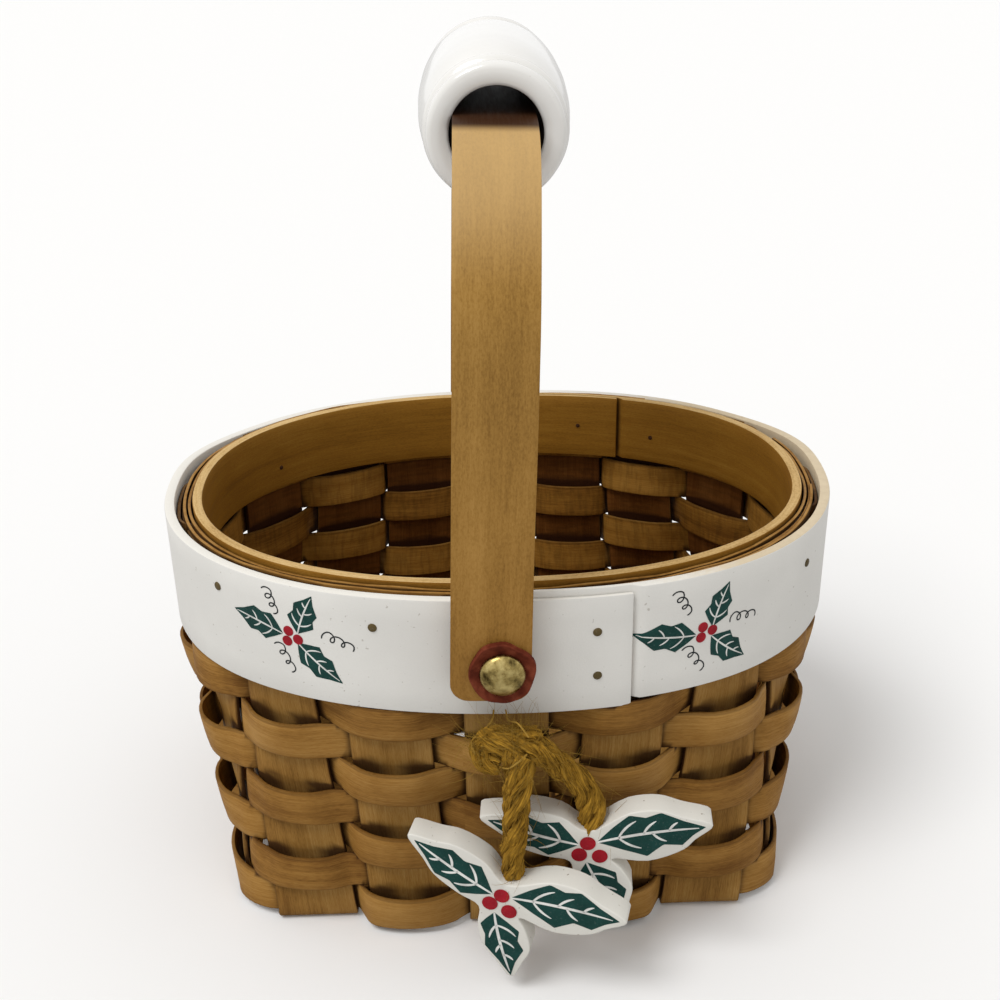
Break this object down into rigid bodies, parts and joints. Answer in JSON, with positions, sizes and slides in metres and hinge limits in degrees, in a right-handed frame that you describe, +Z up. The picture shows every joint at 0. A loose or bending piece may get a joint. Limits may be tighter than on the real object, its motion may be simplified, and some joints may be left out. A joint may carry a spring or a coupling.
{
  "type": "oval woven basket",
  "caption": "Oval basket of woven wood splints with a white rim band, a swinging bail handle with a ceramic grip, and hanging holly cut-outs on jute twine.",
  "frame": {"origin": "middle of the base on the surface it stands on", "axes": "+X to the right along the oval's long way, +Y to the back, +Z up"},
  "size_m": [0.2391, 0.2355, 0.2946],
  "materials": {
    "splint_wood": "stained wood splint, matt",
    "hoop_wood": "lightly stained bent wood, satin",
    "white_paint": "wood painted white, satin, with printed holly sprigs",
    "handle_wood": "smooth bent wood, satin varnish",
    "glazed_ceramic": "white gloss glaze",
    "brass": "polished",
    "leather": "matt vegetable tanned leather",
    "jute": "hairy natural fibre",
    "ornament_paint": "wood painted white, green and red, matt"
  },
  "bodies": {
    "basket": {"cross_splint_left_outer": "splint_wood", "cross_splint_left_inner": "splint_wood", "cross_splint_middle": "splint_wood", "cross_splint_right_inner": "splint_wood", "cross_splint_right_outer": "splint_wood", "long_splint_front_outer": "splint_wood", "long_splint_front_inner": "splint_wood", "long_splint_back_inner": "splint_wood", "long_splint_back_outer": "splint_wood", "weaver_row_1": "splint_wood", "weaver_row_2": "splint_wood", "weaver_row_3": "splint_wood", "weaver_row_4": "splint_wood", "weaver_row_5": "splint_wood", "weaver_row_6": "splint_wood", "weaver_row_7": "splint_wood", "weaver_row_8": "splint_wood", "weaver_row_9": "splint_wood", "weaver_row_10": "splint_wood", "inner_rim_hoop": "hoop_wood", "outer_rim_band": "white_paint", "front_rivet": "brass", "front_leather_washer": "leather", "front_spacer_washer": "leather", "front_burr_washer": "brass", "back_rivet": "brass", "back_leather_washer": "leather", "back_spacer_washer": "leather", "back_burr_washer": "brass", "jute_knot": "jute"},
    "handle": {"handle": "handle_wood"},
    "grip": {"ceramic_grip": "glazed_ceramic"},
    "front_ornament": {"front_twine_leg": "jute", "front_holly_cut_out": "ornament_paint"},
    "rear_ornament": {"rear_twine_leg": "jute", "rear_holly_cut_out": "ornament_paint"}
  },
  "joints": [
    {"name": "handle_swing", "type": "hinge", "parent": "basket", "child": "handle", "pos_m": [-0.0014, 0, 0.1154], "axis": [0, 1, 0], "range_deg": [-100, 100]},
    {"name": "grip_spin", "type": "hinge", "parent": "handle", "child": "grip", "pos_m": [0.0011, 0, 0.27], "axis": [0, 1, 0], "continuous": true},
    {"name": "front_ornament_swing", "type": "hinge", "parent": "basket", "child": "front_ornament", "pos_m": [0.0035, -0.105, 0.091], "axis": [0, 1, 0], "range_deg": [-9, 20]},
    {"name": "rear_ornament_swing", "type": "hinge", "parent": "basket", "child": "rear_ornament", "pos_m": [0.0035, -0.105, 0.091], "axis": [0, 1, 0], "range_deg": [-20, 9]}
  ]
}
